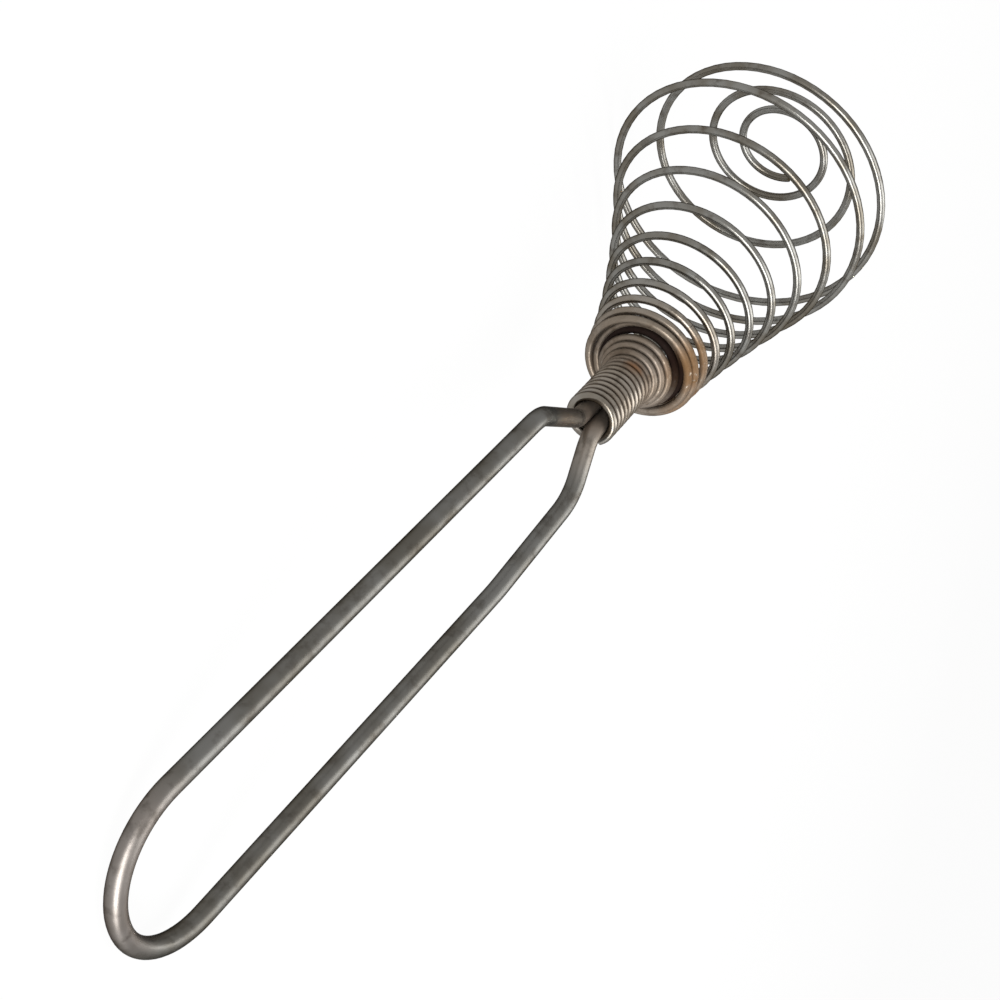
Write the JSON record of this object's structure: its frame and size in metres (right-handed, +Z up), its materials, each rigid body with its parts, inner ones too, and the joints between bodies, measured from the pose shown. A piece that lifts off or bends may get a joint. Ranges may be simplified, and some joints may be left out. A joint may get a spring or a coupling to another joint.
{
  "type": "spiral whisk",
  "caption": "Wire spiral whisk: a long open loop handle, a tight wire-wound neck and a springy tapering coil basket that closes in a flat spiral",
  "frame": {"origin": "under the middle of the whisk's box, on the table it lies on", "axes": "+X from the handle loop to the basket, +Z up from the table, +Y to the left seen from the handle"},
  "size_m": [0.2154, 0.0554, 0.0563],
  "materials": {
    "handle_steel": "drawn wire, dulled",
    "spring_steel": "drawn wire, tarnished"
  },
  "bodies": {
    "handle": {"handle_wire": "handle_steel", "neck_winding": "spring_steel", "basket_coil": "spring_steel"},
    "tip": {"end_spiral": "spring_steel"}
  },
  "joints": [
    {"name": "coil_compress", "type": "slide", "parent": "handle", "child": "tip", "axis": [-0.9971, -0.0261, -0.0715], "range_m": [0, 0.02], "stiffness_N_per_m": 200, "deforming": ["basket_coil"]}
  ]
}
